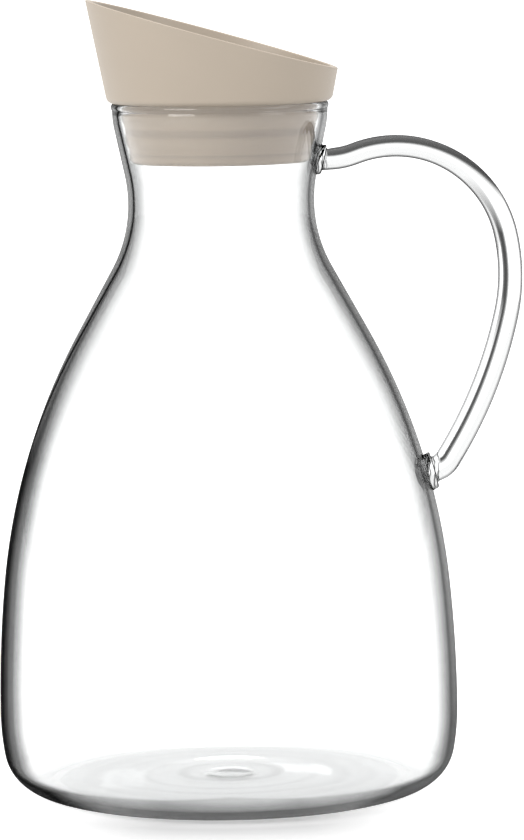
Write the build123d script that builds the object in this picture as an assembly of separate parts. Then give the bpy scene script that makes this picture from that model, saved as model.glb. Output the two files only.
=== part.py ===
from build123d import *
import os
from math import atan, cos, degrees, pi, radians, sin, tan

# Infusion carafe: a blown borosilicate bottle with a drawn glass handle welded to it, and a
# slanted funnel lid whose plug carries a silicone lip seal and a steel strainer.
# Millimetres. The origin is the centre of the foot on the table, +Z is up, the handle is
# towards +X and the high pouring side of the lid is towards -X.

# Bottle: angles are in degrees from the vertical unless they are turns of an arc
wall = 2.4
push_up = 1.8
ring_inner_r = 54.7
ring_outer_r = 57.9
heel_r = 14.1
heel_turn = 79.7
side_r = 75.6
belly_r = 405.0
belly_turn = 5.8
shoulder_r = 209.0
cone_angle = 29.0
cone_length = 22.6
throat_r = 43.1
flare_angle = 11.9
flare_length = 14.7
mouth_r = 28.7
mouth_angle = 2.6
rim_z = 218.4
rim_bead_r = 1.5
rim_flat = 0.2
pontil_r = 7.0
pontil_rise = 0.7

# Handle: a rod drawn thicker towards its lower end, bent in the XZ plane. The bends are
# radius and turn, the stations are share of the length and radius.
rod_start_z = 199.5
rod_start_heading = 5.2
rod_lead = 4.8
rod_bends = ((25.2, 15.3), (35.7, -98.2), (60.0, -24.8), (144.8, -18.4))
rod_foot_run = 3.0
rod_foot_bend = (8.0, -40.0)
rod_tail = 6.0
rod_stations = ((0, 3.45), (0.3, 3.45), (0.55, 3.85), (0.8, 4.1), (1, 4.1))
root_depth = 2.0
top_pad_z = 199.5
top_pad_r = 4.8
top_pad_height = 1.4
low_pad_z = 99.5
low_pad_r = 5.9
low_pad_height = 2.0
pad_edge_r = 0.6
pad_blend_r = 0.55
swell_r = 5.0
swell_rise = 1.5

# Lid cup: a cone that opens upwards, cut off on a slant, over a straight neck sleeve
lid_angle = 11.1
lid_base_r = 35.45
lid_high_z = 251.2
lid_low_z = 228.7
lid_wall = 2.3
lid_floor = 2.4
lid_heel_r = 2.3
lid_lip_r = 0.4
funnel_slope = 14.0
funnel_corner_r = 5.0
bore_edge_r = 2.2
sleeve_bore_r = 24.7
sleeve_wall = 2.0

# Lip seal and strainer under the lid
seal_bottom_z = 199.8
seal_flange = 1.2
seal_flange_r = 23.9
seal_gap = 0.3
seal_corner_r = 1.8
lip_gap = 0.4
lip_depth = 0.5
lip_height = 4.8
lip_middles = (206.8, 214.4)
strainer_t = 0.5
strainer_r = 26.4
hole_r = 1.4
hole_pitch = 4.7
hole_rings = 4

# The strainer lies on the seal's inward flange and the sleeve stands on the strainer
strainer_z = seal_bottom_z + seal_flange
sleeve_end_z = strainer_z + strainer_t
seal_bore_r = sleeve_bore_r + sleeve_wall + seal_gap
bead_z = rim_z - rim_bead_r + rim_flat


def run_on(edges, length):
    """Straight piece that carries on from the last edge."""
    last = edges[-1]
    edges.append(Line(last @ 1, (last @ 1) + (last % 1) * length))


def bend_on(edges, radius, turn):
    """Arc tangent to the last edge, turning left where turn is positive."""
    last = edges[-1]
    edges.append(JernArc(last @ 1, last % 1, radius, turn))


def bottle_line(inset):
    """Radius against height, from the axis below the floor up to the rim, moved into the
    glass by inset. Every stretch is tangent to the next, so an inset only changes radii."""
    push_turn = 2 * degrees(atan(push_up / ring_inner_r))
    push_r = ring_inner_r / sin(radians(push_turn)) / 2
    edges = [JernArc((0, push_up + inset), (1, 0), push_r + inset, -push_turn)]
    bend_on(edges, push_r - inset, push_turn)
    run_on(edges, ring_outer_r - ring_inner_r)
    bend_on(edges, heel_r - inset, heel_turn)
    bend_on(edges, side_r - inset, 90 - heel_turn)
    bend_on(edges, belly_r - inset, belly_turn)
    bend_on(edges, shoulder_r - inset, cone_angle - belly_turn)
    run_on(edges, cone_length)
    bend_on(edges, throat_r + inset, -cone_angle - flare_angle)
    run_on(edges, flare_length)
    bend_on(edges, mouth_r - inset, flare_angle - mouth_angle)
    lean = inset * sin(radians(mouth_angle))
    run_on(edges, (bead_z + lean - (edges[-1] @ 1).Y) / cos(radians(mouth_angle)))
    return edges


def turned(profile):
    """Body of revolution about Z from a face drawn as radius against height."""
    return revolve(Plane.XZ * profile, Axis.Z)


def bottle_form(inset):
    """The bottle as one filled solid, its skin moved inwards by inset."""
    edges = bottle_line(inset)
    top = edges[-1] @ 1
    closing = Polyline(top, (0, top.Y), (0, push_up + inset))
    return turned(make_face(edges + list(closing.edges())))


def wall_at(z):
    """Point on the bottle's side at a height, and the outward normal there."""
    for edge in bottle_line(0)[3:]:
        if (edge @ 0).Y <= z <= (edge @ 1).Y:
            low, high = 0.0, 1.0
            while high - low > 1e-7:
                middle = (low + high) / 2
                low, high = (middle, high) if (edge @ middle).Y < z else (low, middle)
            point, along = edge @ low, edge % low
            return Vector(point.X, 0, z), Vector(along.Y, 0, -along.X)
    raise ValueError("no wall at this height")


def bore_radius(z):
    """Inner radius of the flared mouth at a height above the throat."""
    point, normal = wall_at(z)
    return point.X - wall / normal.X


def glass_body():
    outer = bottle_line(0)
    inner = bottle_line(wall)
    outer_top = outer[-1] @ 1
    inner_top = inner[-1] @ 1
    axis = Line((0, push_up), (0, push_up + wall))
    section = make_face(outer + inner + [Line(outer_top, inner_top), axis])
    bead = Pos(*((outer_top + inner_top) / 2)) * Circle(rim_bead_r)
    above_rim = Pos(outer_top.X, rim_z + rim_bead_r) * Rectangle(4 * rim_bead_r, 2 * rim_bead_r)
    blank = turned(section + (bead - above_rim))
    # The pontil mark is a low button in the middle of the floor
    button_r = (pontil_r ** 2 + pontil_rise ** 2) / (2 * pontil_rise)
    button = Pos(0, 0, push_up + wall + pontil_rise - button_r) * Sphere(button_r)
    reach = Pos(0, 0, push_up + wall) * Cylinder(pontil_r, 2)
    return blank + (button & reach) + weld_swell()


def weld_swell():
    """Wall pushed into the bottle behind the lower weld."""
    point, normal = wall_at(low_pad_z)
    ball_r = (swell_r ** 2 + swell_rise ** 2) / (2 * swell_rise)
    centre = point + normal * (ball_r - wall - swell_rise)
    return Pos(*centre) * Sphere(ball_r) & bottle_form(wall / 2)


def weld_pad(z, pad_r, pad_height):
    """Button of glass pressed on the wall at a height, square to the wall there."""
    point, normal = wall_at(z)
    seat = Plane(origin=point - normal * root_depth, x_dir=(0, 1, 0), z_dir=normal)
    button = extrude(Circle(pad_r), root_depth + pad_height)
    button = fillet(button.edges().sort_by(Axis.Z)[-1], pad_edge_r)
    return seat * button


def joint_line(grip, z, pad_r, pad_height):
    """Edges where the rod comes out of a pad's flat top, without the pad's own rim."""
    point, normal = wall_at(z)
    rim_length = 2 * pi * (pad_r - pad_edge_r)
    edges = []
    for edge in grip.edges():
        offset = edge.center() - point
        near = offset.length < pad_r + pad_height
        if near and abs(offset.dot(normal) - pad_height) < 0.01 and edge.length < 0.99 * rim_length:
            edges.append(edge)
    return edges


def rod_path():
    """Centreline of the rod, from inside the throat wall to inside the shoulder wall."""
    angle = radians(rod_start_heading)
    start = wall_at(rod_start_z)[0]
    lead = Vector(cos(angle), sin(angle))
    root = Vector(start.X, start.Z) - lead * root_depth
    edges = [Line(root, root + lead * (root_depth + rod_lead))]
    for radius, turn in rod_bends:
        bend_on(edges, radius, turn)
    run_on(edges, rod_foot_run)
    bend_on(edges, *rod_foot_bend)
    run_on(edges, rod_tail)
    return Plane.XZ * Wire(edges)


def handle():
    path = rod_path()
    sections = [Plane(path ^ at) * Circle(radius) for at, radius in rod_stations]
    grip = sweep(sections, path, multisection=True)
    for pad in ((top_pad_z, top_pad_r, top_pad_height), (low_pad_z, low_pad_r, low_pad_height)):
        grip = grip + weld_pad(*pad)
        grip = fillet(joint_line(grip, *pad), pad_blend_r)
    return grip - bottle_form(0)


def lid_cup():
    """Slanted cup and neck sleeve in one moulding, open from top to bottom."""
    flare = tan(radians(lid_angle))
    cone_top = lid_high_z + lid_heel_r
    outer_top_r = lid_base_r + (cone_top - rim_z) * flare
    lid_skin = lid_wall / cos(radians(lid_angle))
    funnel_edge_z = rim_z + lid_floor
    # The funnel floor rises from the bore to meet the inside of the cone
    rise = tan(radians(funnel_slope))
    corner_r = (lid_base_r - lid_skin + lid_floor * flare - sleeve_bore_r * rise * flare) / (1 - rise * flare)
    corner_z = funnel_edge_z + (corner_r - sleeve_bore_r) * rise
    sleeve_r = sleeve_bore_r + sleeve_wall
    outline = Polyline(
        (sleeve_bore_r, sleeve_end_z),
        (sleeve_r, sleeve_end_z),
        (sleeve_r, rim_z),
        (lid_base_r, rim_z),
        (outer_top_r, cone_top),
        (outer_top_r - lid_skin, cone_top),
        (corner_r, corner_z),
        (sleeve_bore_r, funnel_edge_z),
        close=True,
    )
    section = make_face(outline)
    section = fillet(section.vertices().sort_by_distance((lid_base_r, rim_z))[0], lid_heel_r)
    section = fillet(section.vertices().sort_by_distance((corner_r, corner_z))[0], funnel_corner_r)
    section = fillet(section.vertices().sort_by_distance((sleeve_bore_r, funnel_edge_z))[0], bore_edge_r)
    high_r = lid_base_r + (lid_high_z - rim_z) * flare
    low_r = lid_base_r + (lid_low_z - rim_z) * flare
    slant = degrees(atan((lid_high_z - lid_low_z) / (high_r + low_r)))
    middle_z = lid_high_z - high_r * tan(radians(slant))
    above = Box(6 * lid_base_r, 6 * lid_base_r, lid_high_z, align=(Align.CENTER, Align.CENTER, Align.MIN))
    cup = turned(section) - Pos(0, 0, middle_z) * Rot(0, slant, 0) * above
    lip_face = cup.faces().filter_by(GeomType.PLANE).sort_by(Axis.Z)[-1]
    return fillet(lip_face.edges(), lid_lip_r)


def lip_seal():
    """Silicone sleeve round the neck sleeve, with rounded lips that follow the mouth."""
    def lip_r(z):
        return bore_radius(z) - lip_gap

    corner_top_z = seal_bottom_z + seal_corner_r
    corner = JernArc((lip_r(corner_top_z) - seal_corner_r, seal_bottom_z), (1, 0), seal_corner_r, 90)
    edges = [corner]
    for middle in lip_middles:
        low, high = middle - lip_height / 2, middle + lip_height / 2
        foot = (lip_r(low) - lip_depth, low)
        edges.append(Line(edges[-1] @ 1, foot))
        edges.append(ThreePointArc(foot, (lip_r(middle), middle), (lip_r(high) - lip_depth, high)))
    inside = Polyline(
        edges[-1] @ 1,
        ((edges[-1] @ 1).X, rim_z),
        (seal_bore_r, rim_z),
        (seal_bore_r, strainer_z),
        (seal_flange_r, strainer_z),
        (seal_flange_r, seal_bottom_z),
        corner @ 0,
    )
    return turned(make_face(edges + list(inside.edges())))


def strainer():
    """Perforated steel disc with rings of holes, six more in each ring."""
    spots = [(0, 0)]
    for ring in range(1, hole_rings + 1):
        spots += [(loc.position.X, loc.position.Y) for loc in PolarLocations(ring * hole_pitch, 6 * ring)]
    plate = Circle(strainer_r) - [Pos(x, y) * Circle(hole_r) for x, y in spots]
    return Pos(0, 0, strainer_z) * extrude(plate, strainer_t)


if __name__ == "__main__":
    os.makedirs("parts", exist_ok=True)
    export_step(glass_body(), "parts/glass_body.step")
    export_step(handle(), "parts/handle.step")
    export_step(lid_cup(), "parts/lid_cup.step")
    export_step(lip_seal(), "parts/lip_seal.step")
    export_step(strainer(), "parts/strainer.step")
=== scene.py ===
from functools import partialmethod
from math import asin, atan, cos, degrees, pi, radians, sin, tan

import bpy
from bpy.props import FloatProperty, FloatVectorProperty, IntProperty, PointerProperty
from mathutils import Matrix, Vector


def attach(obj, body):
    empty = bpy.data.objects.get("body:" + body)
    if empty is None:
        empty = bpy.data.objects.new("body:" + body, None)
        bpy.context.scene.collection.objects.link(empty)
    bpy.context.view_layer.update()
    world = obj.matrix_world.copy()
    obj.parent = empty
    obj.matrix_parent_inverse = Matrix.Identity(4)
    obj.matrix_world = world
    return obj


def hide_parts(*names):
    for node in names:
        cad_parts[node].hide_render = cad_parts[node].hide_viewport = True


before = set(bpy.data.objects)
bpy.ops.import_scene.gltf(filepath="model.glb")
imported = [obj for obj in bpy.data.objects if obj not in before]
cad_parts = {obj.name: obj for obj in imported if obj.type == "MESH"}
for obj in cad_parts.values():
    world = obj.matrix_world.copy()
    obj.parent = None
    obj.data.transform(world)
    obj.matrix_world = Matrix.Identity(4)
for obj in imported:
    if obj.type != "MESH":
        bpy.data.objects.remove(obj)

bl_info = {
    "name": "Infusion Carafe",
    "version": (1, 0, 0),
    "blender": (4, 5, 0),
    "location": "3D View > Sidebar > Carafe",
    "description": "Blown glass carafe with a rod handle, a slanted funnel lid and its studio stage",
    "category": "Add Mesh",
}

# Metres. The carafe stands on Z = 0 round the Z axis, its handle towards +X and the high
# side of its lid towards -X. Angles are in degrees.
MM = 0.001
# Steps of each of the two bends of the pushed-up floor
FLOOR_STEPS = 10
# Heights of the handle's welds, and the swell of the inner wall behind the lower one
TOP_WELD, LOW_WELD = 199.5 * MM, 99.5 * MM
SWELL_RADIUS, SWELL_DEPTH = 5 * MM, 1.5 * MM
# Vertex value of the faces that carry the painted dark outline, and the colour of clear glass
OUTER_SKIN = "outer_skin"
CLEAR = (0.985, 0.99, 0.99, 1)

# Stops of the colour ramps, as place and value. The first three give the bottle's painted dark
# edge, the share of the light that its dark coat takes away in place of the unlit room seen
# through the glass, against the depth inside its outline as a share of EDGE_SPAN
EDGE_SPAN = 20 * MM
RIGHT_EDGE = (
    (0.0, 0.75), (0.04, 0.74), (0.065, 0.77), (0.08, 0.83), (0.095, 0.89), (0.105, 0.90),
    (0.115, 0.87), (0.125, 0.79), (0.14, 0.72), (0.165, 0.67), (0.19, 0.62), (0.225, 0.55),
    (0.265, 0.45), (0.31, 0.34), (0.375, 0.23), (0.45, 0.13), (0.55, 0.06), (0.65, 0.02),
    (0.75, 0.0),
)
LEFT_EDGE = (
    (0.0, 0.97), (0.03, 0.995), (0.05, 0.988), (0.071, 0.975), (0.087, 0.96), (0.1025, 0.93),
    (0.118, 0.90), (0.166, 0.87), (0.181, 0.83), (0.197, 0.76), (0.213, 0.72), (0.237, 0.67),
    (0.268, 0.56), (0.30, 0.43), (0.33, 0.32), (0.363, 0.23), (0.394, 0.17), (0.45, 0.11),
    (0.55, 0.06), (0.70, 0.02), (0.80, 0.0),
)
NECK_LINE = ((0.065, 0.0), (0.088, 0.88), (0.103, 0.99), (0.118, 0.99), (0.132, 0.85), (0.15, 0.0))
# Bend of the heel as a share of HEEL_SPAN, against the share of the way to the side
HEEL_SPAN = 40 * MM
HEEL_RADIUS = (
    (0.0, 0.388), (0.30, 0.40), (0.47, 0.55), (0.60, 0.67), (0.71, 0.765), (0.85, 0.32),
    (1.0, 0.263),
)
# The same painted darkness on the handle, in place of the unlit room seen through the rod,
# against the depth inside the rod's outline, against the turn of its surface upwards, against the
# turn towards the bottle for the band on its inner side and for the part of it that stays low
# down, and against the waves in its weld pads
ROD_EDGE = ((0.0, 0.90), (0.02, 0.84), (0.034, 0.40), (0.048, 0.0))
UPPER_BAND = (
    (0.0, 0.0), (0.10, 0.16), (0.22, 0.36), (0.30, 0.62), (0.36, 0.90), (0.45, 0.96),
    (0.70, 0.92), (0.85, 0.88), (1.0, 0.92),
)
INNER_BAND = (
    (0.10, 0.0), (0.20, 0.60), (0.30, 0.95), (0.48, 0.97), (0.60, 0.85), (0.68, 0.12),
    (0.90, 0.05),
)
LOW_BAND = ((0.0, 1.0), (0.43, 1.0), (0.53, 0.12), (0.66, 0.04))
PAD_LINES = ((0.50, 0.0), (0.76, 0.40), (0.90, 0.78), (1.0, 0.84))
# Painted shade on the seal in darker rings below its lower lip, between its lips and at its
# top, against the way up its sleeve
SEAL_SHADE_RINGS = (
    (0.0, 0.2), (0.10, 0.0), (0.16, 0.9), (0.19, 0.0), (0.44, 0.0), (0.50, 1.0), (0.58, 0.8),
    (0.62, 0.0), (0.84, 0.1), (1.0, 0.7),
)
# Painted shade in rings in the bottle's floor, against the distance from the axis as a share of
# RINGS_SPAN
RINGS_SPAN = 60 * MM
FLOOR_RINGS = (
    (0.0, 0.0), (0.20, 0.04), (0.235, 0.30), (0.26, 0.32), (0.285, 0.05), (0.40, 0.02),
    (0.44, 0.18), (0.47, 0.03), (0.56, 0.08), (0.61, 0.17), (0.65, 0.04), (0.76, 0.13),
    (0.80, 0.02), (0.88, 0.12), (0.93, 0.02), (1.0, 0.0),
)
# Painted shadow before the foot: the floor's own light that is taken away there, where the
# lamps' real shadow of the carafe also shows, against the distance from the axis as a share
# of SHADE_SPAN
SHADE_SPAN = 0.3
FLOOR_SHADE = (
    (0.18, 0.50), (0.22, 0.78), (0.247, 0.97), (0.267, 0.92), (0.317, 0.74), (0.367, 0.55),
    (0.5, 0.0),
)


class GlassSettings(bpy.types.PropertyGroup):
    """Sizes and optics of the bottle and its handle"""

    wall: FloatProperty(
        name="Wall", description="Thickness of the blown wall", default=2.4 * MM, unit="LENGTH"
    )
    rim_height: FloatProperty(
        name="Rim height", description="Top of the rim above the table", default=218.4 * MM,
        unit="LENGTH",
    )
    flare: FloatProperty(
        name="Mouth flare", description="Lean of the flared mouth in degrees", default=11.9
    )
    lip_lean: FloatProperty(
        name="Lip lean", description="Lean of the wall under the rim in degrees", default=2.6
    )
    ior: FloatProperty(
        name="IOR", description="Refractive index of borosilicate glass", default=1.47
    )
    tint: FloatVectorProperty(
        name="Tint", description="Colour that long paths in the glass take on", subtype="COLOR",
        size=3, default=(0.50, 0.52, 0.52), min=0, max=1,
    )
    density: FloatProperty(
        name="Absorption", description="Absorption per metre of glass", default=14.0, min=0
    )
    segments: IntProperty(
        name="Segments", description="Facets round the bottle", default=256, min=32
    )


class LidSettings(bpy.types.PropertyGroup):
    """Sizes and colours of the lid and its seal"""

    high_side: FloatProperty(
        name="High side", description="Height of the pouring side", default=251.1 * MM,
        unit="LENGTH",
    )
    low_side: FloatProperty(
        name="Low side", description="Height of the side above the handle", default=228.65 * MM,
        unit="LENGTH",
    )
    cone: FloatProperty(
        name="Cone angle", description="Lean of the cup's side in degrees", default=11.1
    )
    colour: FloatVectorProperty(
        name="Lid colour", description="Warm beige of the moulding", subtype="COLOR", size=3,
        default=(0.47, 0.40, 0.322), min=0, max=1,
    )
    seal_colour: FloatVectorProperty(
        name="Seal colour", description="Warm beige of the silicone", subtype="COLOR", size=3,
        default=(0.425, 0.348, 0.268), min=0, max=1,
    )
    steel_colour: FloatVectorProperty(
        name="Steel colour", description="Stainless steel of the strainer", subtype="COLOR", size=3,
        default=(0.62, 0.61, 0.60), min=0, max=1,
    )
    segments: IntProperty(
        name="Segments", description="Facets round the lid", default=192, min=32
    )


class StageSettings(bpy.types.PropertyGroup):
    """Camera, floor and lights"""

    distance: FloatProperty(
        name="Camera distance", description="Camera to the carafe's axis", default=1.5,
        unit="LENGTH",
    )
    camera_height: FloatProperty(
        name="Camera height", description="Camera above the table", default=0.2878, unit="LENGTH"
    )
    lens: FloatProperty(name="Lens", description="Focal length in millimetres", default=203.7)
    floor_tone: FloatProperty(
        name="Floor tone", description="Brightness of the floor's colour", default=0.86
    )
    floor_shade: FloatProperty(
        name="Floor shade", description="Depth of the shade before the foot", default=1.0
    )
    world_light: FloatProperty(
        name="World light", description="Light that the surroundings give", default=0.62
    )
    key_power: FloatProperty(
        name="Key light", description="Power of the soft light at the left, in watts",
        default=16.0,
    )
    fill_power: FloatProperty(
        name="Fill light", description="Power of the soft light at the right, in watts",
        default=5.0,
    )


def deselect_all():
    for other in bpy.context.selected_objects:
        other.select_set(False)


def select_only(piece):
    deselect_all()
    piece.select_set(True)
    bpy.context.view_layer.objects.active = piece


def finish_piece(piece, body, slot, *nodes):
    """Takes the primitive's place into the mesh and hands the piece to its body."""
    select_only(piece)
    bpy.ops.object.transform_apply(location=True, rotation=True, scale=True)
    bpy.ops.object.shade_smooth()
    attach(piece, body)
    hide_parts(*nodes)


class Outline:
    """Pen that draws a section as radius against height, in straights and tangent bends."""

    def __init__(self, r, z, heading):
        self.points = [(r, z)]
        self.heading = heading

    def straight(self, length, steps=1):
        r, z = self.points[-1]
        a = radians(self.heading)
        for i in range(1, steps + 1):
            self.points.append((r + cos(a) * length * i / steps, z + sin(a) * length * i / steps))

    def bend(self, radius, turn, steps):
        r, z = self.points[-1]
        reach = radius if turn > 0 else -radius
        a = radians(self.heading)
        middle_r, middle_z = r - reach * sin(a), z + reach * cos(a)
        for i in range(1, steps + 1):
            b = radians(self.heading + turn * i / steps)
            self.points.append((middle_r + reach * sin(b), middle_z - reach * cos(b)))
        self.heading += turn


def turned_piece(name, points, segments, closed=False):
    """Surface of revolution: one vertex extruded along the section and spun round Z."""
    deselect_all()
    r, z = points[0]
    bpy.ops.mesh.primitive_plane_add(size=MM, location=(0, 0, 0))
    piece = bpy.context.active_object
    piece.name = piece.data.name = name
    bpy.ops.object.mode_set(mode="EDIT")
    bpy.ops.mesh.select_mode(type="VERT")
    bpy.ops.mesh.merge(type="CENTER")
    bpy.ops.transform.translate(value=(r, 0, z))
    for (r0, z0), (r1, z1) in zip(points, points[1:]):
        bpy.ops.mesh.extrude_region_move(TRANSFORM_OT_translate={"value": (r1 - r0, 0, z1 - z0)})
    bpy.ops.mesh.select_all(action="SELECT")
    if closed:
        bpy.ops.mesh.remove_doubles(threshold=0.01 * MM)
    bpy.ops.mesh.spin(steps=segments, angle=2 * pi, center=(0, 0, 0), axis=(0, 0, 1))
    bpy.ops.mesh.select_all(action="SELECT")
    bpy.ops.mesh.remove_doubles(threshold=0.005 * MM)
    bpy.ops.mesh.normals_make_consistent(inside=False)
    bpy.ops.object.mode_set(mode="OBJECT")
    return piece


def bottle_line(inset, settings):
    """The bottle's surface from the axis under the floor up to the rim, moved into the glass
    by inset: every stretch is tangent to the next, so an inset only changes the radii."""
    push_up, ring_inner, ring_outer = 1.8 * MM, 54.7 * MM, 57.9 * MM
    heel_r, foot_r, belly_r, shoulder_r = 14.1 * MM, 75.6 * MM, 405 * MM, 209 * MM
    slope, throat_r, mouth, lip_r, bead_drop = 22.6 * MM, 43.1 * MM, 14.7 * MM, 28.7 * MM, 1.3 * MM
    heel_turn, foot_turn, belly_turn, shoulder_turn = 79.7, 10.3, 5.8, 23.2
    push_turn = 2 * degrees(atan(push_up / ring_inner))
    push_r = ring_inner / sin(radians(push_turn)) / 2
    pen = Outline(0, push_up + inset, 0)
    pen.bend(push_r + inset, -push_turn, FLOOR_STEPS)
    pen.bend(push_r - inset, push_turn, FLOOR_STEPS)
    pen.straight(ring_outer - ring_inner)
    pen.bend(heel_r - inset, heel_turn, 24)
    pen.bend(foot_r - inset, foot_turn, 6)
    pen.bend(belly_r - inset, belly_turn, 8)
    pen.bend(shoulder_r - inset, shoulder_turn, 18)
    pen.straight(slope, 4)
    pen.bend(throat_r + inset, 90.0 - pen.heading - settings.flare, 22)
    pen.straight(mouth, 3)
    pen.bend(lip_r - inset, settings.flare - settings.lip_lean, 5)
    bead_z = settings.rim_height - bead_drop
    lean = radians(settings.lip_lean)
    rise = bead_z + inset * sin(lean) - pen.points[-1][1]
    pen.straight(rise / cos(lean))
    return pen.points


def wall_side(z, settings):
    """Radius of the bottle's side at a height and the heading of its outward normal."""
    side = bottle_line(0, settings)[2 * FLOOR_STEPS + 1:]
    for (r0, z0), (r1, z1) in zip(side, side[1:]):
        if z0 <= z <= z1:
            r = r0 + (r1 - r0) * (z - z0) / (z1 - z0)
            return r, -degrees(atan((r1 - r0) / (z1 - z0)))
    raise RuntimeError("the bottle has no side at this height")


def mouth_radius(z, settings):
    radius, normal = wall_side(z, settings)
    return radius - settings.wall / cos(radians(normal))


def is_outside(point, settings):
    """True on the bottle's outer skin above its foot, false on its inside and its floor."""
    r = point.to_2d().length
    if point.z < 0.2 * MM:
        return False
    if point.z > settings.rim_height - 2.3 * MM:
        return r > mouth_radius(settings.rim_height - 3 * MM, settings) + settings.wall / 2
    return r > wall_side(point.z, settings)[0] - settings.wall / 2


def mark_skin(piece, outside):
    """Vertex values that tell the glass material which faces carry the painted dark outline."""
    skin = piece.data.attributes.new(OUTER_SKIN, "FLOAT", "POINT")
    for vertex, value in zip(piece.data.vertices, skin.data):
        value.value = 1.0 if outside(vertex.co) else 0.0


class CARAFE_OT_bottle(bpy.types.Operator):
    """Turn the blown bottle with its fire-polished rim, pushed-up foot and pontil mark"""

    bl_idname = "carafe.bottle"
    bl_label = "Bottle"

    def execute(self, context):
        glass = context.scene.carafe_glass
        outside = bottle_line(0, glass)
        inside = bottle_line(glass.wall, glass)
        # The rim is a bead a little thicker than the wall, flattened where the lid rests
        (r0, z0), (r1, z1) = outside[-1], inside[-1]
        bead_r, bead_z = (r0 + r1) / 2, (z0 + z1) / 2
        size, sweep, steps = 1.5 * MM, 253.7, 24
        start = -degrees(asin(0.6)) - glass.lip_lean
        bead = []
        for i in range(steps + 1):
            a = radians(start + (sweep * i) / steps)
            bead.append((bead_r + size * cos(a), min(bead_z + size * sin(a), glass.rim_height)))
        # A low button of glass stands in the middle of the floor
        rise, button_r = 0.7 * MM, 7 * MM
        floor = [(r, z + rise * max(0.0, 1 - (r / button_r) ** 2)) for r, z in dense_floor(inside)]
        piece = turned_piece("bottle_glass", outside[:-1] + bead + floor[-2::-1], glass.segments)
        raise_swell(piece, glass)
        mark_skin(piece, lambda p: is_outside(p, glass) or in_swell(p, glass))
        piece.data.materials.append(blown_glass(glass))
        finish_piece(piece, "carafe", "body_glass", "glass_body")
        return {"FINISHED"}


def dense_floor(points):
    """The floor's section with extra points under the pontil button."""
    button = [(i * MM, points[0][1]) for i in range(8)]
    return button + [p for p in points if p[0] > 8 * MM or p[1] > 30 * MM]


def heading_vector(angle):
    return Vector((cos(radians(angle)), 0, sin(radians(angle))))


def swell_middle(settings):
    """Middle of the swell behind the lower weld, on the inner wall, and the way out of it."""
    wall_r, normal = wall_side(LOW_WELD, settings)
    axis = heading_vector(normal)
    return Vector((wall_r, 0, LOW_WELD)) - axis * settings.wall, axis


def raise_swell(piece, settings):
    """Cuts the inner wall behind the lower weld finer and draws it in to a low swell."""
    middle, axis = swell_middle(settings)
    cut_r, pull_r = 9 * MM, 4.2 * MM
    select_only(piece)
    bpy.ops.object.mode_set(mode="EDIT")
    bpy.ops.mesh.select_mode(type="FACE")
    bpy.ops.mesh.select_all(action="DESELECT")
    bpy.ops.object.mode_set(mode="OBJECT")
    for face in piece.data.polygons:
        face.select = (face.center - middle).length < cut_r and face.normal.dot(axis) < -0.9
    bpy.ops.object.mode_set(mode="EDIT")
    bpy.ops.mesh.subdivide(number_cuts=3)
    bpy.ops.mesh.hide(unselected=True)
    bpy.ops.mesh.select_all(action="DESELECT")
    bpy.ops.mesh.select_mode(type="VERT")
    bpy.ops.object.mode_set(mode="OBJECT")
    nearest = min(piece.data.vertices, key=lambda v: (v.co - middle).length).index
    piece.data.vertices[nearest].select = True
    bpy.ops.object.mode_set(mode="EDIT")
    bpy.ops.transform.translate(
        value=-axis * SWELL_DEPTH, use_proportional_edit=True, proportional_edit_falloff="SPHERE",
        proportional_size=pull_r,
    )
    bpy.ops.mesh.reveal(select=False)
    bpy.ops.object.mode_set(mode="OBJECT")
    if (piece.data.vertices[nearest].co - middle).length < MM:
        raise RuntimeError("the swell behind the weld was not drawn in")


def in_swell(point, settings):
    middle, axis = swell_middle(settings)
    offset = point - middle
    return offset.length < SWELL_RADIUS and offset.dot(axis) < -0.25 * MM


def weld(pad, rod_end, settings):
    """Rings of a pressed weld pad, from inside the wall out to the rod."""
    z, pad_r, pad_height = pad
    rod_point, rod_heading, rod_r = rod_end
    edge_r, blend_r, sunk = 0.6 * MM, 0.55 * MM, 0.9 * MM
    wall_r, normal = wall_side(z, settings)
    quarter = [radians(a) for a in range(90, -1, -15)]
    section = [(-sunk, pad_r)]
    for a in quarter:
        section.append((pad_height - edge_r + edge_r * cos(a), pad_r - edge_r + edge_r * sin(a)))
    for a in quarter:
        section.append((pad_height + blend_r * (1 - sin(a)), rod_r + blend_r * (1 - cos(a))))
    top = section[-1][0]
    axis, lead = heading_vector(normal), heading_vector(rod_heading)
    foot = Vector((wall_r, 0, z))
    joint = rod_point + lead * ((top - (rod_point - foot).dot(axis)) / lead.dot(axis))
    drift = joint - (foot + axis * top)
    rings = []
    for height, radius in section:
        share = min(1.0, max(0.0, height / pad_height))
        rings.append((foot + axis * height + drift * share, normal, radius))
    return rings


def swept_rings(name, rings, corners):
    """Round tube through rings of centre, heading and radius in the XZ plane: a circle is
    extruded from ring to ring, turned about its own centre and sized."""
    deselect_all()
    centre, heading, radius = rings[0]
    bpy.ops.mesh.primitive_circle_add(
        vertices=corners, radius=radius, fill_type="NGON", location=centre,
        rotation=(0, radians(90 - heading), 0),
    )
    piece = bpy.context.active_object
    piece.name = piece.data.name = name
    bpy.ops.object.transform_apply(location=True, rotation=True, scale=True)
    bpy.ops.object.mode_set(mode="EDIT")
    bpy.ops.mesh.select_all(action="SELECT")
    for (c0, h0, r0), (c1, h1, r1) in zip(rings, rings[1:]):
        bpy.ops.mesh.extrude_region_move(TRANSFORM_OT_translate={"value": c1 - c0})
        if abs(h1 - h0) > 0.001:
            bpy.ops.transform.rotate(
                value=radians(h1 - h0), orient_axis="Y", orient_type="GLOBAL", center_override=c1
            )
        if abs(r1 / r0 - 1) > 0.0001:
            bpy.ops.transform.resize(value=(r1 / r0,) * 3, center_override=c1)
    bpy.ops.mesh.select_all(action="SELECT")
    bpy.ops.mesh.normals_make_consistent(inside=False)
    bpy.ops.object.mode_set(mode="OBJECT")
    return piece


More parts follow.
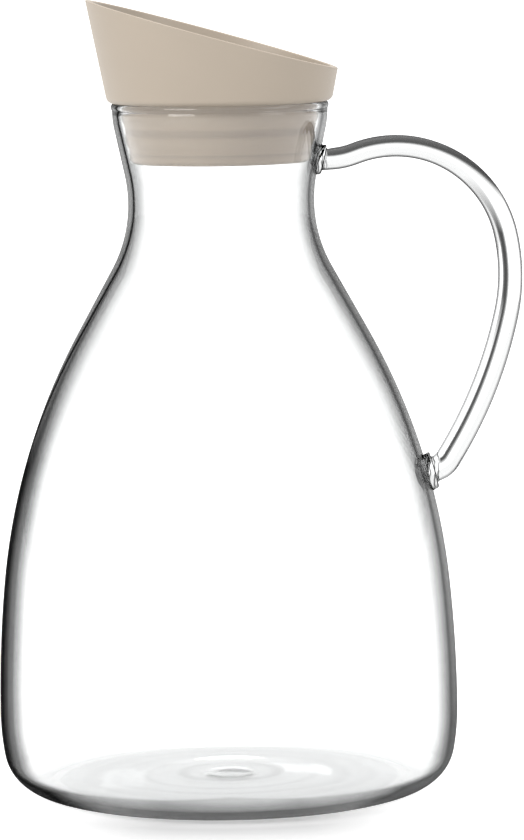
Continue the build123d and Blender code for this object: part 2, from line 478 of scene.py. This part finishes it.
class CARAFE_OT_handle(bpy.types.Operator):
    """Draw the glass rod along its bends and spread both ends into weld pads"""

    bl_idname = "carafe.handle"
    bl_label = "Handle"

    def execute(self, context):
        glass = context.scene.carafe_glass
        start, heading = (35.88 * MM, 199.94 * MM), 5.2
        thin, thick = 3.45 * MM, 4.1 * MM
        top_pad, low_pad = (TOP_WELD, 4.8 * MM, 1.4 * MM), (LOW_WELD, 5.9 * MM, 2.0 * MM)
        bends = (
            (25.2, 15.3, 6), (35.7, -98.2, 36), (60.0, -24.8, 12), (144.8, -18.4, 16),
            (3.0, 0, 2), (8.0, -34.0, 12),
        )
        pen = Outline(*start, heading)
        headings = [heading]
        for radius, turn, steps in bends:
            before = pen.heading
            if turn:
                pen.bend(radius * MM, turn, steps)
            else:
                pen.straight(radius * MM, steps)
            headings += [before + turn * i / steps for i in range(1, steps + 1)]
        count = len(pen.points) - 1
        rod = []
        for i, ((x, z), heading) in enumerate(zip(pen.points, headings)):
            # The rod thickens over the middle half of its steps
            share = min(1.0, max(0.0, 2 * i / count - 0.5))
            rod.append((Vector((x, 0, z)), heading, thin + (thick - thin) * share))
        top = weld(top_pad, rod[0], glass)
        low = weld(low_pad, rod[-1], glass)
        low = [(centre, heading - 180, radius) for centre, heading, radius in low[::-1]]
        piece = swept_rings("handle_glass", top + rod[:-2] + low, 56)
        piece.data.materials.append(rod_glass(glass))
        finish_piece(piece, "carafe", "handle_glass", "handle")
        return {"FINISHED"}


class CARAFE_OT_lid(bpy.types.Operator):
    """Turn the lid's cup and neck sleeve, cut the cup on its slant and round its lip"""

    bl_idname = "carafe.lid"
    bl_label = "Lid"

    def execute(self, context):
        lid = context.scene.carafe_lid
        rim = context.scene.carafe_glass.rim_height
        cone = radians(lid.cone)
        base_r, wall, floor = 35.45 * MM, 2.3 * MM, 2.4 * MM
        heel_r, corner_r, edge_r, lip_r = 2.3 * MM, 5.0 * MM, 2.2 * MM, 0.4 * MM
        bore_r, sleeve_r, sleeve_end, slope = 24.7 * MM, 26.7 * MM, 201.5 * MM, 14.0
        spare = 3 * MM
        cone_top = lid.high_side + spare
        # Outside: up the sleeve, along the underside, round the heel and up the cone
        pen = Outline(bore_r, sleeve_end, 0)
        pen.straight(sleeve_r - bore_r)
        pen.heading = 90
        pen.straight(rim - sleeve_end, 3)
        pen.heading = 0
        pen.straight(base_r - sleeve_r - heel_r * tan((pi / 2 - cone) / 2))
        pen.bend(heel_r, 90 - lid.cone, 10)
        pen.straight((cone_top - pen.points[-1][1]) / cos(cone))
        # Inside: down the cone, round into the funnel floor and over the edge of the bore
        skin = wall / cos(cone)
        edge_z = rim + floor
        rise = tan(radians(slope))
        lean = tan(cone)
        corner = (base_r - skin + floor * lean - bore_r * rise * lean) / (1 - rise * lean)
        corner_z = edge_z + (corner - bore_r) * rise
        top_r = pen.points[-1][0] - skin
        inside = Outline(top_r, cone_top, -90 - lid.cone)
        turn = 90 - slope - lid.cone
        corner_cut = corner_r * tan(radians(turn / 2))
        inside.straight((cone_top - corner_z) / cos(cone) - corner_cut)
        inside.bend(corner_r, -turn, 12)
        edge_turn = 90 - slope
        edge_cut = edge_r * tan(radians(edge_turn / 2))
        inside.straight((corner - bore_r) / cos(radians(slope)) - corner_cut - edge_cut, 2)
        inside.bend(edge_r, edge_turn, 10)
        inside.points.append((bore_r, sleeve_end))
        piece = turned_piece("lid_moulding", pen.points + inside.points, lid.segments, closed=True)
        high_r = base_r + (lid.high_side - rim) * lean
        low_r = base_r + (lid.low_side - rim) * lean
        slant = atan((lid.high_side - lid.low_side) / (high_r + low_r))
        normal = Vector((sin(slant), 0, cos(slant)))
        peak = Vector((-high_r, 0, lid.high_side))
        bpy.ops.object.mode_set(mode="EDIT")
        bpy.ops.mesh.select_all(action="SELECT")
        bpy.ops.mesh.bisect(plane_co=peak, plane_no=normal, clear_outer=True)
        bpy.ops.mesh.select_all(action="DESELECT")
        bpy.ops.mesh.select_non_manifold(extend=False)
        bpy.ops.mesh.bridge_edge_loops()
        bpy.ops.mesh.select_all(action="DESELECT")
        bpy.ops.object.mode_set(mode="OBJECT")
        for edge in piece.data.edges:
            ends = [piece.data.vertices[i].co for i in edge.vertices]
            on_cut = all(abs((p - peak).dot(normal)) < 0.01 * MM for p in ends)
            across = abs(ends[0].to_2d().length - ends[1].to_2d().length) > 0.5 * wall
            edge.select = on_cut and not across
        bpy.ops.object.mode_set(mode="EDIT")
        bpy.ops.mesh.select_mode(type="EDGE")
        bpy.ops.mesh.bevel(offset=lip_r, segments=4, profile=0.5)
        bpy.ops.mesh.select_all(action="SELECT")
        bpy.ops.mesh.normals_make_consistent(inside=False)
        bpy.ops.object.mode_set(mode="OBJECT")
        piece.data.materials.append(beige_moulding(lid))
        finish_piece(piece, "lid", "lid_plastic", "lid_cup")
        bpy.ops.object.shade_smooth_by_angle(angle=radians(40))
        return {"FINISHED"}


class CARAFE_OT_seal(bpy.types.Operator):
    """Turn the silicone sleeve with its rounded lips"""

    bl_idname = "carafe.seal"
    bl_label = "Seal"

    def execute(self, context):
        glass = context.scene.carafe_glass
        lid = context.scene.carafe_lid
        bottom, flange_z, flange_r, bore_r = 199.8 * MM, 201.0 * MM, 23.9 * MM, 27.0 * MM
        corner_r, gap, depth, height = 1.8 * MM, 0.4 * MM, 0.5 * MM, 4.8 * MM

        def lip(z):
            return mouth_radius(z, glass) - gap

        pen = Outline(flange_r, bottom, 0)
        pen.straight(lip(bottom + corner_r) - corner_r - flange_r)
        pen.bend(corner_r, 90, 12)
        for middle in (206.8 * MM, 214.4 * MM):
            for i in range(17):
                t = i / 8 - 1
                z = middle + t * height / 2
                pen.points.append((lip(z) - depth * t * t, z))
        pen.points += [
            (pen.points[-1][0], glass.rim_height), (bore_r, glass.rim_height), (bore_r, flange_z),
            (flange_r, flange_z), (flange_r, bottom),
        ]
        piece = turned_piece("seal_sleeve", pen.points, lid.segments, closed=True)
        piece.data.materials.append(silicone(lid))
        finish_piece(piece, "seal", "seal_silicone", "lip_seal")
        bpy.ops.object.shade_smooth_by_angle(angle=radians(50))
        return {"FINISHED"}


class CARAFE_OT_strainer(bpy.types.Operator):
    """Give the perforated disc its brushed steel"""

    bl_idname = "carafe.strainer"
    bl_label = "Strainer"

    def execute(self, context):
        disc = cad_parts["strainer"]
        disc.data.materials.clear()
        disc.data.materials.append(brushed_steel(context.scene.carafe_lid))
        return {"FINISHED"}


class Nodes:
    """Short ways to add nodes to a material, a world or a group. A term is a number, a tuple
    or another node's output."""

    def __init__(self, tree):
        self.nodes, self.links = tree.nodes, tree.links

    def add(self, kind, **settings):
        node = self.nodes.new(kind)
        for name, value in settings.items():
            setattr(node, name, value)
        return node

    def feed(self, node, terms):
        """Sets or links the node's inputs, given by name or by number."""
        for key, term in terms.items():
            if isinstance(term, bpy.types.NodeSocket):
                self.links.new(term, node.inputs[key])
            else:
                node.inputs[key].default_value = term

    def math(self, operation, *terms):
        node = self.add("ShaderNodeMath", operation=operation)
        self.feed(node, dict(enumerate(terms)))
        return node.outputs["Value"]

    plus = partialmethod(math, "ADD")
    minus = partialmethod(math, "SUBTRACT")
    over = partialmethod(math, "DIVIDE")
    highest = partialmethod(math, "MAXIMUM")
    lowest = partialmethod(math, "MINIMUM")

    def times(self, first, *others):
        for other in others:
            first = self.math("MULTIPLY", first, other)
        return first

    def vector(self, operation, *terms, output="Vector"):
        node = self.add("ShaderNodeVectorMath", operation=operation)
        self.feed(node, dict(enumerate(terms)))
        return node.outputs[output]

    def span(self, value, low, high, first=0.0, last=1.0):
        """Maps a value from low to high onto first to last."""
        node = self.add("ShaderNodeMapRange")
        self.feed(node, {
            "Value": value, "From Min": low, "From Max": high, "To Min": first, "To Max": last,
        })
        return node.outputs["Result"]

    def ramp(self, value, stops):
        node = self.add("ShaderNodeValToRGB")
        elements = node.color_ramp.elements
        for i, (place, level) in enumerate(stops):
            element = elements[i] if i < 2 else elements.new(place)
            element.position = place
            element.color = (level, level, level, 1)
        self.feed(node, {"Fac": value})
        return node.outputs["Color"]

    def mix(self, factor, a, b):
        node = self.add("ShaderNodeMix", data_type="RGBA")
        self.feed(node, {"Factor": factor, "A": a, "B": b})
        return node.outputs["Result"]

    def bump(self, height, strength, distance):
        node = self.add("ShaderNodeBump")
        self.feed(node, {"Height": height, "Strength": strength, "Distance": distance})
        return node.outputs["Normal"]

    def coordinates(self, kind="Object"):
        """Place on the piece, or its normal, as a vector and as X, Y and Z."""
        vector = self.add("ShaderNodeTexCoord").outputs[kind]
        split = self.add("ShaderNodeSeparateXYZ")
        self.feed(split, {"Vector": vector})
        return vector, *split.outputs

    def grain(self, grain, mottle, dust):
        node = self.add("ShaderNodeGroup", node_tree=surface_grain())
        self.feed(node, {"Grain Scale": grain, "Mottle Scale": mottle, "Dust Scale": dust})
        return node.outputs


def new_material(name):
    material = bpy.data.materials.new(name)
    material.use_nodes = True
    graph = Nodes(material.node_tree)
    return material, graph, graph.nodes["Principled BSDF"]


def shade_of(colour, strength):
    return (*[min(1, c * strength) for c in colour], 1)


def node_group(name, inputs, outputs):
    """New group with its inputs' defaults and its outputs, and what its nodes read and write."""
    group = bpy.data.node_groups.new(name, "ShaderNodeTree")
    face, kind = group.interface, "NodeSocketFloat"
    for label, default in inputs.items():
        socket = face.new_socket(name=label, in_out="INPUT", socket_type=kind)
        socket.default_value = default
    for label in outputs:
        face.new_socket(name=label, in_out="OUTPUT", socket_type=kind)
    graph = Nodes(group)
    return group, graph, graph.add("NodeGroupInput").outputs, graph.add("NodeGroupOutput")


def surface_grain():
    """Group that gives the fine grain, slow mottling and dust of a used surface."""
    if "surface_grain" in bpy.data.node_groups:
        return bpy.data.node_groups["surface_grain"]
    scales = {"Grain Scale": 900.0, "Mottle Scale": 18.0, "Dust Scale": 420.0}
    group, graph, given, leave = node_group("surface_grain", scales, ("Grain", "Mottle", "Dust"))
    place = graph.add("ShaderNodeTexCoord").outputs["Object"]
    for label, detail, rough in (("Grain", 3.0, 0.55), ("Mottle", 2.0, 0.5), ("Dust", 1.0, 0.5)):
        noise = graph.add("ShaderNodeTexNoise")
        graph.feed(noise, {
            "Vector": place, "Scale": given[label + " Scale"], "Detail": detail,
            "Roughness": rough,
        })
        value = noise.outputs["Fac"]
        if label == "Dust":
            value = graph.ramp(value, ((0.75, 0.0), (0.84, 1.0)))
        graph.feed(leave, {label: value})
    return group


def outline_depth():
    """Group that turns the facing of a round wall into the depth inside its outline."""
    if "outline_depth" in bpy.data.node_groups:
        return bpy.data.node_groups["outline_depth"]
    inputs = {"Facing": 0.0, "Radius": 0.0}
    group, graph, given, leave = node_group("outline_depth", inputs, ("Depth",))
    cosine = graph.minus(1.0, given["Facing"])
    sine = graph.math("SQRT", graph.minus(1.0, graph.times(cosine, cosine)))
    depth = graph.times(graph.minus(1.0, sine), given["Radius"])
    graph.feed(leave, {"Depth": graph.over(depth, EDGE_SPAN)})
    return group


def depth_inside(graph, radius):
    """Depth inside the outline of a wall bent to a radius, as a share of EDGE_SPAN."""
    facing = graph.add("ShaderNodeLayerWeight")
    graph.feed(facing, {"Blend": 0.5})
    node = graph.add("ShaderNodeGroup", node_tree=outline_depth())
    graph.feed(node, {"Facing": facing.outputs["Facing"], "Radius": radius})
    return node.outputs["Depth"]


def clear_glass(name, glass):
    """Clear glass with the slow waves of hand work, and a coat for its painted dark outline."""
    material, graph, shader = new_material(name)
    waves = graph.grain(34.0, 9.0, 420.0)["Mottle"]
    graph.feed(shader, {
        "Base Color": CLEAR, "Roughness": 0.0, "IOR": glass.ior, "Transmission Weight": 1.0,
        "Coat IOR": 1.0, "Coat Roughness": 0.0, "Coat Tint": (0.03, 0.03, 0.03, 1),
        "Normal": graph.bump(waves, 0.12, 0.6 * MM),
    })
    absorb = graph.add("ShaderNodeVolumeAbsorption")
    graph.feed(absorb, {"Color": (*glass.tint, 1), "Density": glass.density})
    graph.feed(graph.nodes["Material Output"], {"Volume": absorb.outputs["Volume"]})
    return material, graph, shader, waves


def blown_glass(glass):
    """Bottle glass. A dark coat that only grazing rays meet is a painted dark edge, standing for the
    unlit room round the white ground seen through the glass: it is painted darker on the left of
    the body than on its right and its neck, because of how the light falls."""
    material, graph, shader, waves = clear_glass("blown_glass", glass)
    times, span, highest, ramp = graph.times, graph.span, graph.highest, graph.ramp
    place, x, _, z = graph.coordinates()
    away = graph.vector("LENGTH", graph.vector("MULTIPLY", place, (1, 1, 0)), output="Value")
    across = graph.over(x, away)
    sideways = graph.math("ABSOLUTE", across)
    # The heel is bent far tighter than the wall, and its painted dark edge is grey in the middle
    above_heel = span(times(z, span(sideways, 0.0, 1.0, 1.0, 1.6)), 8 * MM, 14 * MM)
    heel_radius = times(ramp(sideways, HEEL_RADIUS), HEEL_SPAN)
    depth = depth_inside(graph, highest(times(away, above_heel), heel_radius))
    uneven = span(waves, 0.3, 0.7, 0.86, 1.14)
    depth = times(depth, uneven, span(away, 68 * MM, 40 * MM, 1.0, 1.25))
    # Behind the mouth stands the seal, which hides the soft inner end of the painted dark edge
    inner = highest(graph.minus(depth, 0.15), 0.0)
    depth = graph.plus(depth, times(inner, span(z, 200 * MM, 201 * MM, 0.0, 4.0)))
    left, right = span(across, -0.4, -0.8), span(across, 0.4, 0.8)
    low_left = times(left, span(z, 150 * MM, 105 * MM))
    low_right = times(right, span(z, 95 * MM, 20 * MM, 0.0, 0.6))
    edge = graph.mix(highest(low_left, low_right), ramp(depth, RIGHT_EDGE), ramp(depth, LEFT_EDGE))
    weight = graph.lowest(edge, highest(above_heel, span(sideways, 0.56, 0.76, 0.73, 1.0)))
    # A painted darker line runs down the left of the neck and on to the shoulder, and drifts
    # outwards
    outward = graph.plus(depth, span(z, 182 * MM, 112 * MM, 0.0, 0.10))
    line = times(ramp(outward, NECK_LINE), left, span(z, 78 * MM, 98 * MM))
    # The painted dark edge is made lighter on the right of the lip
    pale_lip = times(span(z, 203 * MM, 208 * MM, 0.0, 0.08), span(across, 0.3, 0.8))
    weight = graph.minus(highest(weight, line), pale_lip)
    # The far side of the heel, seen from within, stays clear
    behind = graph.add("ShaderNodeNewGeometry").outputs["Backfacing"]
    seen = graph.minus(1.0, times(behind, span(above_heel, 1.0, 0.0)))
    skin = graph.add("ShaderNodeAttribute", attribute_name=OUTER_SKIN)
    graph.feed(shader, {
        "Coat Weight": times(weight, seen, skin.outputs["Fac"]),
        "Base Color": floor_colour(graph, place, away, z, waves),
    })
    return material


def floor_colour(graph, place, away, z, waves):
    """Painted shade: faint rings in the floor and the dark lens of its pontil button."""
    times, span = graph.times, graph.span
    in_floor = times(span(z, 5.5 * MM, 4.9 * MM), span(z, 2.0 * MM, 2.4 * MM))
    reach = graph.plus(graph.over(away, RINGS_SPAN), times(waves, 0.16))
    rings = graph.ramp(graph.minus(reach, 0.08), FLOOR_RINGS)
    oval = graph.vector("MULTIPLY_ADD", place, (1, 2.6, 0), (-1.4 * MM, 4.0 * MM, 0))
    lens = span(graph.vector("LENGTH", oval, output="Value"), 7.5 * MM, 4.5 * MM, 0.0, 0.85)
    shade = times(graph.highest(rings, lens), in_floor, span(away, 58 * MM, 48 * MM))
    return graph.mix(shade, CLEAR, (0.0, 0.0, 0.0, 1))


def rod_glass(glass):
    """Handle glass with painted darkness for the unlit room seen through it: thin dark lines along
    both sides, a broad dark band along the top, another on the inner side where the rod comes
    down, and fine lines round both weld pads."""
    material, graph, shader, _ = clear_glass("rod_glass", glass)
    times, span, highest, ramp = graph.times, graph.span, graph.highest, graph.ramp
    place, x, _, z = graph.coordinates()
    normal, outward, *_ = graph.coordinates("Normal")
    upward = graph.vector("DOT_PRODUCT", normal, (-0.2, 0, 0.98), output="Value")
    inward = times(outward, -1.0)
    line = times(ramp(depth_inside(graph, 3.8 * MM), ROD_EDGE),
                 span(z, 115 * MM, 175 * MM, 0.72, 1.0))
    upper = times(ramp(upward, UPPER_BAND), span(z, 176 * MM, 188 * MM),
                  span(x, 32.8 * MM, 33.8 * MM))
    narrow = highest(ramp(inward, LOW_BAND), span(z, 128 * MM, 156 * MM))
    inner = times(ramp(inward, INNER_BAND), narrow, span(z, 194 * MM, 176 * MM),
                  span(x, 67.2 * MM, 68.4 * MM))
    low_pad = times(span(z, 108 * MM, 106 * MM), span(x, 68.6 * MM, 67.6 * MM))
    waves = graph.add("ShaderNodeTexWave", bands_direction="X")
    graph.feed(waves, {
        "Vector": place, "Scale": 230.0, "Distortion": 3.5, "Detail": 1.0, "Detail Scale": 1.4,
    })
    pads = times(ramp(waves.outputs["Fac"], PAD_LINES),
                 highest(span(x, 34 * MM, 33 * MM), low_pad))
    front = graph.minus(1.0, graph.add("ShaderNodeNewGeometry").outputs["Backfacing"])
    bands = times(highest(highest(upper, inner), pads), front)
    graph.feed(shader, {"Coat Weight": highest(line, bands)})
    return material


def beige_moulding(lid):
    """Satin plastic with a spark-eroded grain, faint mottling, a little dust and a painted
    highlight along its lip.
    """
    material, graph, shader = new_material("beige_moulding")
    grain = graph.grain(2600.0, 22.0, 520.0)
    tone = graph.mix(grain["Mottle"], shade_of(lid.colour, 0.94), shade_of(lid.colour, 1.06))
    tone = graph.mix(grain["Dust"], tone, shade_of(lid.colour, 1.07))
    # Painted highlight: the lip, where it faces up into the light, is made paler than the sides
    z, upward = graph.coordinates()[3], graph.coordinates("Normal")[3]
    lip = graph.times(graph.span(upward, 0.35, 0.75), graph.span(z, 226 * MM, 227.5 * MM))
    graph.feed(shader, {
        "Base Color": graph.mix(lip, tone, shade_of(lid.colour, 1.45)),
        "Roughness": graph.span(grain["Grain"], 0.0, 1.0, 0.40, 0.54),
        "Normal": graph.bump(grain["Grain"], 0.25, 0.05 * MM),
        "IOR": 1.49,
    })
    return material


def silicone(lid):
    """Matt silicone rubber with painted shade: darker towards its right, away from the light, and in
    darker rings below its lower lip, between its lips and at its top.
    """
    material, graph, shader = new_material("silicone")
    grain = graph.grain(1500.0, 30.0, 600.0)
    colour = lid.seal_colour
    tone = graph.mix(grain["Mottle"], shade_of(colour, 0.95), shade_of(colour, 1.05))
    _, x, _, z = graph.coordinates()
    # Painted shade: darker rings along the sleeve, and darker towards the right, away from the light
    rings = graph.ramp(graph.span(z, 200 * MM, 218.4 * MM), SEAL_SHADE_RINGS)
    side = graph.span(x, -8 * MM, 12 * MM, 0.0, 0.30)
    dark = graph.plus(graph.times(rings, 0.30), side)
    graph.feed(shader, {
        "Base Color": graph.mix(dark, tone, (0.16, 0.12, 0.10, 1)),
        "Roughness": graph.span(grain["Grain"], 0.0, 1.0, 0.55, 0.72),
        "Normal": graph.bump(grain["Grain"], 0.08, 0.03 * MM),
        "Sheen Weight": 0.15, "IOR": 1.43,
    })
    return material


def brushed_steel(lid):
    """Stainless sheet brushed along X before it was punched."""
    material, graph, shader = new_material("brushed_steel")
    place = graph.add("ShaderNodeTexCoord").outputs["Object"]
    stretch = graph.add("ShaderNodeMapping")
    graph.feed(stretch, {"Vector": place, "Scale": (40, 2600, 400)})
    brush = graph.add("ShaderNodeTexNoise")
    graph.feed(brush, {"Vector": stretch.outputs["Vector"], "Scale": 1.0, "Detail": 4.0})
    mottle = graph.grain(900.0, 40.0, 500.0)["Mottle"]
    colour = lid.steel_colour
    graph.feed(shader, {
        "Base Color": graph.mix(mottle, shade_of(colour, 0.88), shade_of(colour, 1.0)),
        "Metallic": 1.0,
        "Roughness": graph.span(brush.outputs["Fac"], 0.0, 1.0, 0.22, 0.42),
        "Normal": graph.bump(brush.outputs["Fac"], 0.2, 0.02 * MM),
    })
    return material


def seen_directly(graph):
    """Mask of the rays that show a surface: straight, mirrored or through glass."""
    path = graph.add("ShaderNodeLightPath").outputs
    mirrored = graph.highest(path["Is Camera Ray"], path["Is Glossy Ray"])
    return graph.highest(mirrored, path["Is Transmission Ray"])


def white_surroundings(context, stage):
    world = bpy.data.worlds.new("white_surroundings")
    world.use_nodes = True
    context.scene.world = world
    graph = Nodes(world.node_tree)
    strength = graph.span(seen_directly(graph), 0.0, 1.0, stage.world_light, 1.0)
    graph.feed(graph.nodes["Background"], {"Color": (1, 1, 1, 1), "Strength": strength})


def pale_floor(stage):
    bpy.ops.mesh.primitive_circle_add(vertices=96, radius=45.0, fill_type="NGON")
    floor = bpy.context.active_object
    floor.name = "floor"
    material, graph, shader = new_material("floor_paper")
    # The floor is as white as the surroundings, but for a painted shadow before the foot and under
    # the carafe, where its own light is taken away and the lamps' real shadow shows
    place, _, y, _ = graph.coordinates()
    reach = graph.vector("LENGTH", place, output="Value")
    before = graph.span(graph.over(y, reach), -0.40, -0.95, 0.0, stage.floor_shade)
    shade = graph.times(graph.ramp(graph.over(reach, SHADE_SPAN), FLOOR_SHADE), before)
    under = graph.span(reach, 63 * MM, 57 * MM, 0.0, 0.55)
    glow = graph.minus(1.0, graph.highest(shade, under))
    graph.feed(shader, {
        "Base Color": (stage.floor_tone,) * 3 + (1,), "Roughness": 0.9,
        "Specular IOR Level": 0.0, "Emission Color": (1, 1, 1, 1),
        "Emission Strength": graph.times(glow, seen_directly(graph)),
    })
    floor.data.materials.append(material)


def soft_light(name, place, target, width, height, power):
    data = bpy.data.lights.new(name, "AREA")
    data.shape = "RECTANGLE"
    data.size, data.size_y = width, height
    data.energy = power
    light = bpy.data.objects.new(name, data)
    bpy.context.scene.collection.objects.link(light)
    light.location = place
    light.rotation_euler = (Vector(target) - Vector(place)).to_track_quat("-Z", "Y").to_euler()


def aim_camera(context, stage):
    """Camera a little above the carafe, turned and rolled as a hand-levelled one would be."""
    pitch, yaw, roll = radians(6.487), radians(0.454), radians(-0.843)
    ahead = Vector((sin(yaw) * cos(pitch), cos(yaw) * cos(pitch), -sin(pitch)))
    level = Vector((cos(yaw), -sin(yaw), 0))
    up = level.cross(ahead)
    across = level * cos(roll) + up * sin(roll)
    upward = up * cos(roll) - level * sin(roll)
    data = bpy.data.cameras.new("camera")
    data.lens = stage.lens
    data.sensor_width = 36.0
    data.sensor_fit = "AUTO"
    data.clip_start, data.clip_end = 0.1, 120
    camera = bpy.data.objects.new("camera", data)
    context.scene.collection.objects.link(camera)
    turn = Matrix((across, upward, -ahead)).transposed().to_4x4()
    camera.matrix_world = Matrix.Translation((0, -stage.distance, stage.camera_height)) @ turn
    context.scene.camera = camera


class CARAFE_OT_stage(bpy.types.Operator):
    """Set the white floor and surroundings, the soft lights and the camera"""

    bl_idname = "carafe.stage"
    bl_label = "Stage"

    def execute(self, context):
        stage = context.scene.carafe_stage
        context.scene.view_settings.view_transform = "Standard"
        deselect_all()
        pale_floor(stage)
        white_surroundings(context, stage)
        soft_light("key_light", (-1.1, -1.0, 1.2), (0, 0, 0.15), 0.9, 0.9, stage.key_power)
        soft_light("fill_light", (1.3, -0.6, 0.9), (0, 0, 0.15), 0.8, 0.8, stage.fill_power)
        aim_camera(context, stage)
        return {"FINISHED"}


class CARAFE_PT_panel(bpy.types.Panel):
    """Carafe pieces and settings in the sidebar"""

    bl_idname = "CARAFE_PT_panel"
    bl_label = "Infusion Carafe"
    bl_space_type = "VIEW_3D"
    bl_region_type = "UI"
    bl_category = "Carafe"

    def draw(self, context):
        for operator in PIECES:
            self.layout.operator(operator.bl_idname)
        for name, group in SETTINGS.items():
            box = self.layout.box()
            for prop in group.__annotations__:
                box.prop(getattr(context.scene, name), prop)


SETTINGS = {
    "carafe_glass": GlassSettings, "carafe_lid": LidSettings, "carafe_stage": StageSettings,
}
PIECES = (
    CARAFE_OT_bottle, CARAFE_OT_handle, CARAFE_OT_lid, CARAFE_OT_seal, CARAFE_OT_strainer,
    CARAFE_OT_stage,
)


def register():
    for cls in (*SETTINGS.values(), *PIECES, CARAFE_PT_panel):
        bpy.utils.register_class(cls)
    for name, group in SETTINGS.items():
        setattr(bpy.types.Scene, name, PointerProperty(type=group))


def unregister():
    for name in SETTINGS:
        delattr(bpy.types.Scene, name)
    for cls in (CARAFE_PT_panel, *reversed(PIECES), *reversed(tuple(SETTINGS.values()))):
        bpy.utils.unregister_class(cls)


def main():
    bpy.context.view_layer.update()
    register()
    bpy.ops.carafe.bottle()
    bpy.ops.carafe.handle()
    bpy.ops.carafe.lid()
    bpy.ops.carafe.seal()
    bpy.ops.carafe.strainer()
    bpy.ops.carafe.stage()
    bpy.context.view_layer.update()


if __name__ == "__main__":
    main()
